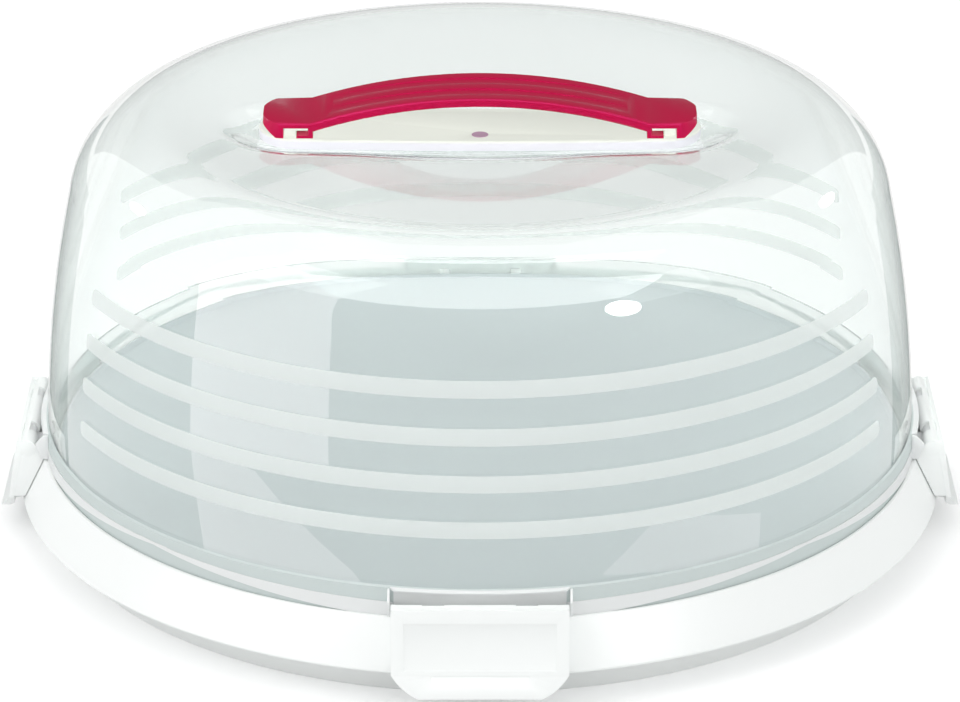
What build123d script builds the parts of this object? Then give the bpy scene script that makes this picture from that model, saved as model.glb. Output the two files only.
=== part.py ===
from build123d import *
import os
from math import asin, atan2, cos, degrees, hypot, radians, sin

os.makedirs("parts", exist_ok=True)

# A round cake carrier: a white tray base, a loose serving plate, a clear domed
# lid with frosted bands, four snap clips hinged on the lid, and a strap handle
# on a cream seat plate. Millimetres; the foot stands on z = 0 and the front is -Y.

# --- overall sizes --------------------------------------------------------
dome_foot_r = 160.9       # outside of the dome just over its rim band
deck_z = 29.6             # the flat that the serving plate lies on
dome_rise = 103.0         # from the lid's lower edge up to its shoulder

# --- tray base ------------------------------------------------------------
foot_setback = 2.7        # the foot ring stands this far inside the dome's foot
foot_wall = 2.2
foot_lean = 2.2           # the foot wall leans out by this towards its top
skirt_overhang = 8.6      # lower edge of the sloping skirt, outside the lip
skirt_z = 12.65           # height of that edge over the table
skirt_wall = 2.2
skirt_chamfer = 0.6       # on the skirt's lower outer edge
lip_rise = 0.8            # outer lip of the lid's groove, over the deck
lip_wall = 1.3
deck_wall = 2.4
groove_depth = 1.2        # the lid stands in this groove round the deck
groove_gap = 0.4          # clearance on each side of the lid's rim
rib_count = 8             # stiffening ribs under the deck
rib_wall = 1.6
rib_depth = 7.0
hub_r = 42.0              # ring that the ribs run out from

# --- serving plate --------------------------------------------------------
plate_gap = 1.9           # between the plate's rim and the inside of the lid
plate_wall = 1.8
plate_rim_width = 2.6
plate_rim_rise = 1.5      # crumb rim over the plate's floor

# --- lid ------------------------------------------------------------------
lid_wall = 2.0
mid_rise = 57.6           # height over the lid's lower edge where the wall leans in
mid_lean = 3.3            # by this much
shoulder_lean = 11.4      # and by this much at the shoulder
shoulder_slope = 13.2     # degrees, lean of the wall where the shoulder starts
shoulder_bend_r = 32.6    # of the shoulder, from the wall over to the crest
pan_depth = 9.6           # hollow in the top that the handle lies in
pan_bend_r = 18.0         # at the top and the foot of the hollow's flank
pan_bend_limit = 0.95     # most of the flank that the two bends may take, on a short one
pan_margin = 1.0          # flat left round the handle's seat
crest_width = 7.047       # flat ring between the shoulder and the hollow
band_proud = 0.8          # rim band over the dome's wall
band_height = 12.6
band_chamfer = 0.5

# --- frosted bands on the dome --------------------------------------------
stripe_drop = 19.4        # centre of the top band, under the shoulder
stripe_pitch = 16.45
stripe_count = 4
stripe_height = 6.0
stripe_sweep = 126.0      # degrees covered at the front and at the back
stripe_proud = 0.25
stripe_bite = 0.6         # how far a band reaches into the wall

# --- clips and their hinges -----------------------------------------------
clip_width = 60.8
hinge_reach = 5.2         # hinge axis, outside the rim band
hinge_rise = 6.3          # hinge axis over the lid's lower edge
pin_r = 1.2
pin_clearance = 0.05
knuckle_r = 3.1
knuckle_bite = 0.4        # knuckles and face share this much wall
lug_r = 2.2
lug_width = 7.0
lug_pitch = 32.0          # between the two lugs of one clip
lug_gap = 0.3             # between a lug and the knuckles beside it
lug_arm_high = 0.5        # top of the lug's arm at the rim band, under the hinge axis
lug_arm_low = 3.5         # and its underside
lug_neck = 2.9            # the arm dips to here, clear of the roof when the clip is open
lug_neck_drop = 1.3
roof_gap = 0.2            # between a lug and the roof that hides it
face_gap = 0.3            # between the lugs and the inside of the clip's face
face_top_rise = 3.0       # upper edge of the face over the hinge axis
face_top_wall = 1.3
face_low_rise = 2.45      # the flat face ends this far over the skirt's edge
face_low_reach = 2.4      # and this far outside it
face_low_wall = 1.8
grip_drop = 4.75          # lower edge of the grip, under the skirt's edge
grip_reach = 6.3          # and outside it
grip_wall = 1.8
grip_tip = 0.5            # the grip's lower edge is cut square to its slope
grip_width = 38.6         # the grip narrows to this at its lower edge
grip_round_in = 0.52      # the narrowing bows out through this share of its width
grip_round_down = 0.71    # and this share of its height
thumb_width = 33.6        # recess in the grip, deepest just under the face
thumb_depth = 0.6
thumb_high = 0.05         # its upper and lower ends, as shares of the grip's slope
thumb_low = 0.5
hook_gap = 0.45           # under the skirt's lower edge
hook_bite = 2.1           # how far the hook reaches under the skirt
hook_wall = 1.3
hook_gusset = 1.0         # thicker root of the hook
hook_width = 40.0
panel_width = 52.0        # shallow panel in the clip's face
panel_depth = 0.35
panel_margin = 1.5        # above the grip
panel_height = 16.4

# --- handle seat plate ----------------------------------------------------
seat_half_length = 80.5
seat_half_width = 17.8    # at the middle
seat_end_half_width = 15.6
seat_end_x = 70.0         # where the long edges turn into the round ends
seat_rise = 3.65          # over the pan's floor
seat_round = 0.8
gate_r = 1.75             # shallow gate mark in front of the middle
gate_depth = 0.15
gate_y = -9.9
stud_x = 48.0
stud_r = 3.0
stud_clearance = 0.05
stud_head_r = 4.4
stud_head = 1.2
post_width = 24.0
post_gap = 0.35           # between the handle's lobe and the post inside it
post_head = 1.2

# --- handle ---------------------------------------------------------------
strap_width = 29.0
strap_wall = 3.3
strap_rise = 9.5          # of the arch's middle over the end lobes
seat_border = 1.7         # seat left past the handle's tips
lobe_length = 17.3        # from the tip to where the arch springs
lobe_height = 5.6         # top of a lobe over the seat
lobe_wall = 1.8
lobe_corner_r = 7.5
strap_round = 0.9         # along the long edges of the arch and the lobes
tip_lean = 4.8            # the outer leg leans in by this down to the seat
leg_wall = 2.9
inner_leg_wall = 1.6
inner_leg_inset = 1.1     # inner leg, from the springing of the arch
sill_wall = 1.0           # ledge that hooks under the post's head
sill_length = 4.4
handle_play = 1.0         # lift before the sills meet the heads
head_clearance = 0.1      # left there at full lift
groove_width = 5.8        # two shallow grooves along the strap
groove_offset = 5.9
strap_groove_depth = 0.7
groove_half_length = 58.0
groove_fade = 1.2         # the grooves run out this far over the lobes
groove_clear = 3.0        # cutter height over the strap

# --- derived values -------------------------------------------------------
groove_z = deck_z - groove_depth
lip_z = deck_z + lip_rise
rim_inner_r = dome_foot_r - lid_wall
rim_outer_r = dome_foot_r + band_proud
groove_inner_r = rim_inner_r - groove_gap
groove_outer_r = rim_outer_r + groove_gap
lip_r = groove_outer_r + lip_wall
skirt_r = lip_r + skirt_overhang
foot_r = dome_foot_r - foot_setback
plate_r = rim_inner_r - plate_gap
band_z = groove_z + band_height
shoulder_z = groove_z + dome_rise
shoulder_r = dome_foot_r - shoulder_lean
crest_z = shoulder_z + shoulder_bend_r * (1 - sin(radians(shoulder_slope)))
pan_z = crest_z - pan_depth
pan_r = seat_half_length + pan_margin
seat_z = pan_z + seat_rise
hinge_r = rim_outer_r + hinge_reach
hinge_z = groove_z + hinge_rise


def radial_section(turn):
    """Plane through the lid's axis: local X runs outward at this heading, local Y is up."""
    out = (cos(radians(turn)), sin(radians(turn)), 0)
    side = (sin(radians(turn)), -cos(radians(turn)), 0)
    return Plane(origin=(0, 0, 0), x_dir=out, z_dir=side)


def outward_face(turn):
    """Plane on the lid's axis that looks outward at this heading, local Y is up."""
    out = (cos(radians(turn)), sin(radians(turn)), 0)
    along = (-sin(radians(turn)), cos(radians(turn)), 0)
    return Plane(origin=(0, 0, 0), x_dir=along, z_dir=out)


# --- tray base: deck, lid groove, skirt and foot as one turned section ------
skirt_lean = skirt_overhang / (lip_z - skirt_z)
skirt_across = skirt_wall * (1 + skirt_lean ** 2) ** 0.5
under_z = groove_z - deck_wall
skirt_under_r = skirt_r - skirt_across - (under_z - skirt_z) * skirt_lean
foot_top_r = foot_r + foot_lean
rib_start = hub_r - rib_wall / 2
rib_end = foot_top_r - foot_wall / 2

with BuildPart() as base:
    with BuildSketch(Plane.XZ) as base_section:
        with BuildLine():
            Polyline(
                (0, deck_z - deck_wall),
                (foot_top_r - foot_wall, deck_z - deck_wall),
                (foot_r - foot_wall, 0),
                (foot_r, 0),
                (foot_top_r, under_z),
                (skirt_under_r, under_z),
                (skirt_r - skirt_across, skirt_z),
                (skirt_r, skirt_z),
                (lip_r, lip_z),
                (groove_outer_r, lip_z),
                (groove_outer_r, groove_z),
                (groove_inner_r, groove_z),
                (groove_inner_r, deck_z),
                (0, deck_z),
                close=True,
            )
        make_face()
        skirt_corner = base_section.vertices().sort_by(Axis.X)[-1]
        chamfer(skirt_corner, skirt_chamfer)
    revolve(axis=Axis.Z)
    # hub ring and ribs under the deck
    with BuildSketch(Plane.XY.offset(deck_z - deck_wall)) as hub:
        Circle(hub_r)
        Circle(hub_r - rib_wall, mode=Mode.SUBTRACT)
        with PolarLocations((rib_start + rib_end) / 2, rib_count):
            Rectangle(rib_end - rib_start, rib_wall)
    extrude(amount=-rib_depth)
base.part.label = "base_tray"
export_step(base.part, "parts/base_tray.step")

# --- serving plate: thin turned disc with a low crumb rim -------------------
plate_floor_z = deck_z + plate_wall
plate_top_z = plate_floor_z + plate_rim_rise

with BuildPart() as plate:
    with BuildSketch(Plane.XZ) as plate_section:
        with BuildLine():
            Polyline(
                (0, deck_z),
                (plate_r, deck_z),
                (plate_r, plate_top_z),
                (plate_r - plate_rim_width / 2, plate_top_z),
                (plate_r - plate_rim_width, plate_floor_z),
                (0, plate_floor_z),
                close=True,
            )
        make_face()
    revolve(axis=Axis.Z)
plate.part.label = "serving_plate"
export_step(plate.part, "parts/serving_plate.step")

# --- lid: turned dome, rim band, frosted bands, clip lugs -------------------
lean = radians(shoulder_slope)
# the hollow's flank: two equal bends and a straight between them, over this run and depth
crest_r = shoulder_r - shoulder_bend_r * cos(lean) - crest_width
flank_run = crest_r - pan_r
full_bend_r = (flank_run ** 2 + pan_depth ** 2) / (4 * pan_depth)
flank_bend_r = min(pan_bend_r, full_bend_r * pan_bend_limit)
bend_drop = 2 * flank_bend_r - pan_depth
dip = asin(2 * flank_bend_r / hypot(flank_run, bend_drop)) - atan2(bend_drop, flank_run)
pan_slope = degrees(dip)
flank = (pan_depth - 2 * flank_bend_r * (1 - cos(dip))) / sin(dip)


def dome_outline(inset):
    """Half outline of the dome from its foot to the lid's axis, moved inward by the inset."""
    foot = Line((dome_foot_r - inset, groove_z), (dome_foot_r - inset, band_z))
    wall = ThreePointArc(
        foot @ 1,
        (dome_foot_r - mid_lean - inset, groove_z + mid_rise),
        (shoulder_r - inset * cos(lean), shoulder_z - inset * sin(lean)),
    )
    shoulder = JernArc(wall @ 1, (-sin(lean), cos(lean)), shoulder_bend_r - inset, 90 - shoulder_slope)
    crest = Line(shoulder @ 1, (crest_r, crest_z - inset))
    rounding = JernArc(crest @ 1, (-1, 0), flank_bend_r - inset, pan_slope)
    slope = Line(rounding @ 1, rounding @ 1 + (rounding % 1) * flank)
    hollow = JernArc(slope @ 1, slope % 1, flank_bend_r + inset, -pan_slope)
    floor = Line(hollow @ 1, (0, pan_z - inset))
    return Wire([foot, wall, shoulder, crest, rounding, slope, hollow, floor])


wall_arc = ThreePointArc(
    (dome_foot_r, band_z), (dome_foot_r - mid_lean, groove_z + mid_rise), (shoulder_r, shoulder_z)
)


def dome_radius(z):
    """Outside radius of the dome's wall at this height."""
    centre = wall_arc.arc_center
    return centre.X + (wall_arc.radius ** 2 - (z - centre.Y) ** 2) ** 0.5


with BuildPart() as lid:
    with BuildSketch(Plane.XZ) as dome_section:
        with BuildLine() as dome_line:
            outside = dome_outline(0)
            inside = dome_outline(lid_wall)
            Line(outside @ 0, inside @ 0)
            Line(outside @ 1, inside @ 1)
        make_face()
    revolve(axis=Axis.Z)
    # rim band round the foot of the dome
    with BuildSketch(Plane.XZ) as band_section:
        with BuildLine():
            Polyline(
                (rim_inner_r, groove_z),
                (rim_outer_r, groove_z),
                (rim_outer_r, band_z - band_chamfer),
                (rim_outer_r - band_chamfer, band_z),
                (rim_inner_r, band_z),
                close=True,
            )
        make_face()
    revolve(axis=Axis.Z)
    # frosted bands, front and back
    for step in range(stripe_count):
        middle_z = shoulder_z - stripe_drop - step * stripe_pitch
        low_z = middle_z - stripe_height / 2
        high_z = middle_z + stripe_height / 2
        for turn in (-90, 90):
            with BuildSketch(radial_section(turn - stripe_sweep / 2)) as stripe:
                with BuildLine():
                    Polyline(
                        (dome_radius(low_z) - stripe_bite, low_z),
                        (dome_radius(low_z) + stripe_proud, low_z),
                        (dome_radius(high_z) + stripe_proud, high_z),
                        (dome_radius(high_z) - stripe_bite, high_z),
                        close=True,
                    )
                make_face()
            revolve(axis=Axis.Z, revolution_arc=stripe_sweep)
    # two lugs at each clip, bored for its hinge pin, on arms that rise from below
    for turn in (-90, 0, 90, 180):
        for side in (-1, 1):
            with BuildSketch(radial_section(turn).offset(side * lug_pitch / 2)) as lug:
                with Locations((hinge_r, hinge_z)):
                    Circle(lug_r)
                with BuildLine():
                    Polyline(
                        (dome_foot_r, hinge_z - lug_arm_low),
                        (hinge_r, hinge_z - lug_r),
                        (hinge_r, hinge_z),
                        (hinge_r - lug_neck, hinge_z - lug_neck_drop),
                        (dome_foot_r, hinge_z - lug_arm_high),
                        close=True,
                    )
                make_face()
                with Locations((hinge_r, hinge_z)):
                    Circle(pin_r + pin_clearance, mode=Mode.SUBTRACT)
            extrude(amount=lug_width / 2, both=True)
    # holes for the studs of the handle's seat
    with BuildSketch(Plane.XY.offset(pan_z)) as stud_holes:
        with Locations((-stud_x, 0), (stud_x, 0)):
            Circle(stud_r + stud_clearance)
    extrude(amount=-lid_wall, mode=Mode.SUBTRACT)
lid.part.label = "lid"
export_step(lid.part, "parts/lid.step")

# --- handle seat: bowed plate with two hooked posts, staked through the lid --
tip_x = seat_half_length - seat_border
spring_x = tip_x - lobe_length            # where the arch springs from a lobe
leg_x = tip_x - tip_lean                  # outside of the outer leg, at its foot
inner_leg_x = spring_x - inner_leg_inset
post_outer_x = leg_x - leg_wall - post_gap
sill_inner_x = inner_leg_x + inner_leg_wall
sill_outer_x = sill_inner_x + sill_length
post_inner_x = sill_outer_x + post_gap
head_inner_x = sill_inner_x + post_gap
head_z = seat_z + sill_wall + handle_play + head_clearance
post_z = head_z + post_head

with BuildPart() as seat:
    with BuildSketch(Plane.XY.offset(pan_z)) as seat_plan:
        with BuildLine():
            front = ThreePointArc(
                (-seat_end_x, -seat_end_half_width),
                (0, -seat_half_width),
                (seat_end_x, -seat_end_half_width),
            )
            right = ThreePointArc(front @ 1, (seat_half_length, 0), (seat_end_x, seat_end_half_width))
            back = ThreePointArc(right @ 1, (0, seat_half_width), (-seat_end_x, seat_end_half_width))
            ThreePointArc(back @ 1, (-seat_half_length, 0), front @ 0)
        make_face()
    extrude(amount=seat_rise)
    fillet(seat.faces().sort_by(Axis.Z)[-1].edges(), seat_round)
    for side in (-1, 1):
        with BuildSketch(Plane.XZ) as post:
            with BuildLine():
                Polyline(
                    (side * post_outer_x, seat_z - seat_round),
                    (side * post_outer_x, post_z),
                    (side * head_inner_x, post_z),
                    (side * head_inner_x, head_z),
                    (side * post_inner_x, head_z),
                    (side * post_inner_x, seat_z - seat_round),
                    close=True,
                )
            make_face()
        extrude(amount=post_width / 2, both=True)
    with BuildSketch(Plane.XY.offset(seat_z)) as gate_mark:
        with Locations((0, gate_y)):
            Circle(gate_r)
    extrude(amount=-gate_depth, mode=Mode.SUBTRACT)
    with BuildSketch(Plane.XY.offset(pan_z)) as studs:
        with Locations((-stud_x, 0), (stud_x, 0)):
            Circle(stud_r)
    extrude(amount=-lid_wall)
    with BuildSketch(Plane.XY.offset(pan_z - lid_wall)) as stud_heads:
        with Locations((-stud_x, 0), (stud_x, 0)):
            Circle(stud_head_r)
    extrude(amount=-stud_head)
seat.part.label = "handle_seat"
export_step(seat.part, "parts/handle_seat.step")

# --- handle: arched strap whose hollow end lobes hook over the posts --------
lobe_z = seat_z + lobe_height
under_lobe_z = lobe_z - lobe_wall
arch_z = lobe_z + strap_rise
groove_end_z = lobe_z + groove_fade

with BuildPart() as handle:
    with BuildSketch(Plane.XZ) as strap_side:
        with BuildLine():
            over = ThreePointArc((-spring_x, lobe_z), (0, arch_z), (spring_x, lobe_z))
            end_right = Polyline(
                over @ 1,
                (tip_x, lobe_z),
                (tip_x, under_lobe_z),
                (leg_x, seat_z),
                (leg_x - leg_wall, seat_z),
                (leg_x - leg_wall, under_lobe_z),
                (sill_inner_x, under_lobe_z),
                (sill_inner_x, seat_z + sill_wall),
                (sill_outer_x, seat_z + sill_wall),
                (sill_outer_x, seat_z),
                (inner_leg_x, seat_z),
                (inner_leg_x, lobe_z - strap_wall),
            )
            under = ThreePointArc(
                end_right @ 1, (0, arch_z - strap_wall), (-inner_leg_x, lobe_z - strap_wall)
            )
            mirror(end_right, about=Plane.YZ)
        make_face()
    extrude(amount=strap_width / 2, both=True)
    # rounds along the lobes' tops and both sides of the arch
    front_edges = handle.edges().group_by(Axis.Y)[0].sort_by(Axis.Z)[-4:]
    back_edges = handle.edges().group_by(Axis.Y)[-1].sort_by(Axis.Z)[-4:]
    fillet(front_edges + back_edges, strap_round)
    # round plan corners of the two lobes
    with BuildSketch(Plane.XY.offset(seat_z)) as plan:
        RectangleRounded(tip_x * 2, strap_width, lobe_corner_r)
    extrude(amount=lobe_height + strap_rise, mode=Mode.INTERSECT)
    # shallow grooves that fade out towards the lobes
    for side in (-1, 1):
        with BuildSketch(Plane.XZ.offset(side * groove_offset)) as groove:
            with BuildLine():
                low = ThreePointArc(
                    (-groove_half_length, groove_end_z),
                    (0, arch_z - strap_groove_depth),
                    (groove_half_length, groove_end_z),
                )
                ThreePointArc(low @ 1, (0, arch_z + groove_clear), low @ 0)
            make_face()
        extrude(amount=groove_width / 2, both=True, mode=Mode.SUBTRACT)
handle.part.label = "handle"
export_step(handle.part, "parts/handle.step")

# --- snap clips: face, knuckles, pin, hook and grip --------------------------
lug_half = lug_width / 2 + lug_gap
lug_centre = lug_pitch / 2
inner_top_r = hinge_r + lug_r + face_gap
to_face = inner_top_r + knuckle_bite - hinge_r
face_top_r = inner_top_r + face_top_wall
face_top_z = hinge_z + face_top_rise
face_low_r = skirt_r + face_low_reach
face_low_z = skirt_z + face_low_rise
inner_low_r = face_low_r - face_low_wall
grip_r = skirt_r + grip_reach
grip_z = skirt_z - grip_drop
hook_z = skirt_z - hook_gap
hook_tip_r = skirt_r - hook_bite
face_lean = (face_low_r - face_top_r) / (face_top_z - face_low_z)
panel_low_z = face_low_z + panel_margin
panel_high_z = panel_low_z + panel_height
grip_end_z = grip_z - grip_tip
bow_in = (clip_width - grip_width) / 2 * grip_round_in
bow_down = (face_low_z - grip_end_z) * grip_round_down
grip_run = grip_r - face_low_r
grip_fall = face_low_z - grip_z
knuckle_spans = (
    (-clip_width / 2, -lug_centre - lug_half),
    (-lug_centre + lug_half, lug_centre - lug_half),
    (lug_centre + lug_half, clip_width / 2),
)


def face_radius(z):
    """Outside of the clip's flat face at this height."""
    return face_top_r + (face_top_z - z) * face_lean


def make_clip(turn):
    """One clip, hanging shut on its lugs at this heading."""
    section = radial_section(turn)
    with BuildPart() as clip:
        with BuildSketch(section) as face:
            with BuildLine():
                Polyline(
                    (inner_top_r, face_top_z),
                    (face_top_r, face_top_z),
                    (face_low_r, face_low_z),
                    (grip_r, grip_z),
                    (grip_r - grip_wall, grip_end_z),
                    (inner_low_r, hook_z - grip_tip),
                    (inner_low_r, face_low_z),
                    (inner_top_r, hinge_z - knuckle_r),
                    close=True,
                )
            make_face()
        extrude(amount=clip_width / 2, both=True)
        # knuckles beside and between the lugs, on one pin
        for start, end in knuckle_spans:
            with BuildSketch(section.offset((start + end) / 2)) as knuckle:
                with Locations((hinge_r, hinge_z)):
                    Circle(knuckle_r)
                    Rectangle(to_face, knuckle_r * 1.5, align=(Align.MIN, Align.CENTER))
            extrude(amount=(end - start) / 2, both=True)
        # a roof over each lug carries the knuckles' round top right along the clip
        with BuildSketch(section) as roof:
            with Locations((hinge_r, hinge_z)):
                Circle(knuckle_r)
                Circle(lug_r + roof_gap, mode=Mode.SUBTRACT)
                Rectangle(knuckle_r, knuckle_r, align=(Align.MIN, Align.MIN), mode=Mode.INTERSECT)
        extrude(amount=lug_centre + lug_half, both=True)
        with BuildSketch(section) as pin:
            with Locations((hinge_r, hinge_z)):
                Circle(pin_r)
        extrude(amount=clip_width / 2, both=True)
        # hook that reaches under the skirt's edge
        with BuildSketch(section) as hook:
            with BuildLine():
                Polyline(
                    (hook_tip_r, hook_z),
                    (inner_low_r + face_low_wall / 2, hook_z),
                    (inner_low_r + grip_wall, hook_z - hook_wall - hook_gusset),
                    (hook_tip_r, hook_z - hook_wall),
                    close=True,
                )
            make_face()
        extrude(amount=hook_width / 2, both=True)
        # the grip narrows downward
        with BuildSketch(outward_face(turn)) as taper:
            for side in (-1, 1):
                with BuildLine():
                    bow = ThreePointArc(
                        (side * clip_width / 2, face_low_z),
                        (side * (clip_width / 2 - bow_in), face_low_z - bow_down),
                        (side * grip_width / 2, grip_end_z),
                    )
                    Polyline(
                        bow @ 1,
                        (side * clip_width, grip_end_z),
                        (side * clip_width, face_low_z),
                        bow @ 0,
                    )
                make_face()
        extrude(amount=grip_r * 2, mode=Mode.SUBTRACT)
        # thumb recess, a step under the face that fades out down the grip
        with BuildSketch(section) as thumb:
            with BuildLine():
                Polyline(
                    (face_low_r + grip_run * thumb_high, face_low_z - grip_fall * thumb_high),
                    (face_low_r + grip_run * thumb_high - thumb_depth, face_low_z - grip_fall * thumb_high),
                    (face_low_r + grip_run * thumb_low, face_low_z - grip_fall * thumb_low),
                    close=True,
                )
            make_face()
        extrude(amount=thumb_width / 2, both=True, mode=Mode.SUBTRACT)
        # shallow panel in the face
        with BuildSketch(section) as panel:
            with BuildLine():
                Polyline(
                    (face_radius(panel_high_z) - panel_depth, panel_high_z),
                    (face_radius(panel_high_z) + panel_depth, panel_high_z),
                    (face_radius(panel_low_z) + panel_depth, panel_low_z),
                    (face_radius(panel_low_z) - panel_depth, panel_low_z),
                    close=True,
                )
            make_face()
        extrude(amount=panel_width / 2, both=True, mode=Mode.SUBTRACT)
    return clip.part


clip_names = {-90: "clip_front", 0: "clip_right", 90: "clip_back", 180: "clip_left"}
for turn, name in clip_names.items():
    clip_part = make_clip(turn)
    clip_part.label = name
    export_step(clip_part, f"parts/{name}.step")
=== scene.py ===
import bpy
from math import acos, atan2, cos, degrees, hypot, pi, radians, sin, sqrt, tan
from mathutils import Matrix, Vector


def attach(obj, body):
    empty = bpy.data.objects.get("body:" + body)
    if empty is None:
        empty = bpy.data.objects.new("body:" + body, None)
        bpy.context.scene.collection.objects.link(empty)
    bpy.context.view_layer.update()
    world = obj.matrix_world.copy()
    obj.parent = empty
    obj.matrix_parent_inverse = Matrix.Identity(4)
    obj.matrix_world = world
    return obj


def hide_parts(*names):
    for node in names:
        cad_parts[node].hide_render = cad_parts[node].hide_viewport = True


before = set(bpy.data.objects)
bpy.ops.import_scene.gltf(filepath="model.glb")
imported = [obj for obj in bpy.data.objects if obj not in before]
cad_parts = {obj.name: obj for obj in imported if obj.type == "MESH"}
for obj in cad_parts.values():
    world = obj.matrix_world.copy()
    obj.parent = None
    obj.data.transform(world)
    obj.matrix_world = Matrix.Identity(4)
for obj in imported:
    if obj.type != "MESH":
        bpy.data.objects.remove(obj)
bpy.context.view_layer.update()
bpy.context.scene.view_settings.view_transform = 'Standard'
print("frame loaded,", len(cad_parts), "nodes")

tiny = 1e-6  # metres: closer points count as one
angles = {"smooth": 40, "smoothSoft": 38, "smoothGate": 30, "bevel": 40, "bevelSoft": 35, "bevelEndWall": 30,
          "flat": 0.5}
headings = {"front": -90, "right": 0, "back": 90, "left": 180}


def linear(hexColour):
    # sRGB hex to the linear values that the shaders take
    parts = [int(hexColour[i:i + 2], 16) / 255 for i in (0, 2, 4)]
    return [c / 12.92 if c <= 0.04045 else ((c + 0.055) / 1.055) ** 2.4 for c in parts] + [1.0]


def addNode(tree, kind, settings=None, links=None):
    # settings: input name or node property -> value; links: input name -> output socket
    node = tree.nodes.new(kind)
    for key, value in (settings or {}).items():
        if isinstance(key, int) or key in node.inputs:
            node.inputs[key].default_value = value
        else:
            setattr(node, key, value)
    for key, socket in (links or {}).items():
        tree.links.new(socket, node.inputs[key])
    return node


def newMaterial(name):
    material = bpy.data.materials.new(name)
    material.use_nodes = True
    material.node_tree.nodes.clear()
    return material, material.node_tree


def finishMaterial(tree, surface, volume=None):
    out = addNode(tree, 'ShaderNodeOutputMaterial', links={"Surface": surface})
    if volume:
        tree.links.new(volume, out.inputs["Volume"])


def setMaterial(piece, material):
    piece.data.materials.clear()
    piece.data.materials.append(material)


def deselectAll():
    if bpy.context.object and bpy.context.object.mode != 'OBJECT':
        bpy.ops.object.mode_set(mode='OBJECT')
    bpy.ops.object.select_all(action='DESELECT')


def makeActive(piece):
    deselectAll()
    piece.select_set(True)
    bpy.context.view_layer.objects.active = piece


def applyModifier(piece, kind, **settings):
    makeActive(piece)
    modifier = piece.modifiers.new(kind.lower(), kind)
    for key, value in settings.items():
        setattr(modifier, key, value)
    bpy.ops.object.modifier_apply(modifier=modifier.name)


def smoothByAngle(piece, angle=angles["smooth"]):
    makeActive(piece)
    bpy.ops.object.shade_smooth_by_angle(angle=radians(angle))


def bevelEdges(piece, width, angle=angles["bevel"], segments=2, **settings):
    applyModifier(piece, 'BEVEL', width=width, segments=segments, limit_method='ANGLE',
                  angle_limit=radians(angle), **settings)


def editAll():
    # edit mode with everything selected
    bpy.ops.object.mode_set(mode='EDIT')
    bpy.ops.mesh.select_all(action='SELECT')


def leaveEdit():
    bpy.ops.object.mode_set(mode='OBJECT')


def arcPoints(centre, radius, start, end, steps):
    # points of an arc, angles in degrees, without its first point
    turns = [radians(start + (end - start) * i / steps) for i in range(1, steps + 1)]
    return [(centre[0] + radius * cos(t), centre[1] + radius * sin(t)) for t in turns]


def filletCorners(corners, steps=5):
    # corners are (r, z, radius); each one with a radius becomes a short arc
    points = []
    last = len(corners) - 1
    for i, (x, y, radius) in enumerate(corners):
        if radius == 0 or i in (0, last):
            points.append((x, y))
            continue
        here = Vector((x, y))
        back = (Vector(corners[i - 1][:2]) - here).normalized()
        ahead = (Vector(corners[i + 1][:2]) - here).normalized()
        half = acos(max(-1, min(1, back.dot(ahead)))) / 2
        middle = here + (back + ahead).normalized() * (radius / sin(half))
        first = here + back * (radius * cos(half) / sin(half)) - middle
        second = here + ahead * (radius * cos(half) / sin(half)) - middle
        for k in range(steps + 1):
            spoke = first.lerp(second, k / steps).normalized() * radius
            points.append(tuple(middle + spoke))
    return points


def turnedPiece(name, outline, steps):
    # an outline in (r, z), drawn point by point and spun round the upright axis
    deselectAll()
    bpy.ops.mesh.primitive_plane_add(size=0.001)
    piece = bpy.context.object
    piece.name = name
    bpy.ops.object.mode_set(mode='EDIT')
    bpy.ops.mesh.select_mode(type='VERT')
    bpy.ops.mesh.select_all(action='SELECT')
    bpy.ops.mesh.merge(type='CENTER')
    place = outline[0]
    bpy.ops.transform.translate(value=(place[0], 0, place[1]))
    for point in outline[1:]:
        step = (point[0] - place[0], 0, point[1] - place[1])
        bpy.ops.mesh.extrude_region_move(TRANSFORM_OT_translate={"value": step})
        place = point
    bpy.ops.mesh.select_all(action='SELECT')
    bpy.ops.mesh.spin(steps=steps, angle=2 * pi, center=(0, 0, 0), axis=(0, 0, 1))
    bpy.ops.mesh.select_all(action='SELECT')
    bpy.ops.mesh.remove_doubles(threshold=tiny)
    bpy.ops.mesh.normals_make_consistent(inside=False)
    leaveEdit()
    return piece


def softenedCopy(node, name, width, segments=3, flatten=True):
    # a copy of a CAD node with its edges rounded, for the light to catch
    deselectAll()
    piece = bpy.data.objects.new(name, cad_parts[node].data.copy())
    bpy.context.scene.collection.objects.link(piece)
    makeActive(piece)
    bpy.ops.mesh.customdata_custom_splitnormals_clear()
    bpy.ops.object.mode_set(mode='EDIT')
    bpy.ops.mesh.select_mode(type='VERT')
    bpy.ops.mesh.select_all(action='SELECT')
    bpy.ops.mesh.remove_doubles(threshold=tiny)
    bpy.ops.mesh.mark_sharp(clear=True)
    if flatten:  # not where a face has a hole, which a bevel would close
        bpy.ops.mesh.dissolve_limited(angle_limit=radians(angles["flat"]))
    leaveEdit()
    if width:
        bevelEdges(piece, width, angles["bevelSoft"], segments, miter_outer='MITER_ARC', harden_normals=False)
    smoothByAngle(piece, angles["smoothSoft"])
    return piece


clearSettings = {"tint": "fbfdfc", "roughness": 0.015, "ior": 1.5, "gloss": 0.22, "depthTint": "c8dfdb",
                 "density": 8.0}


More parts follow.
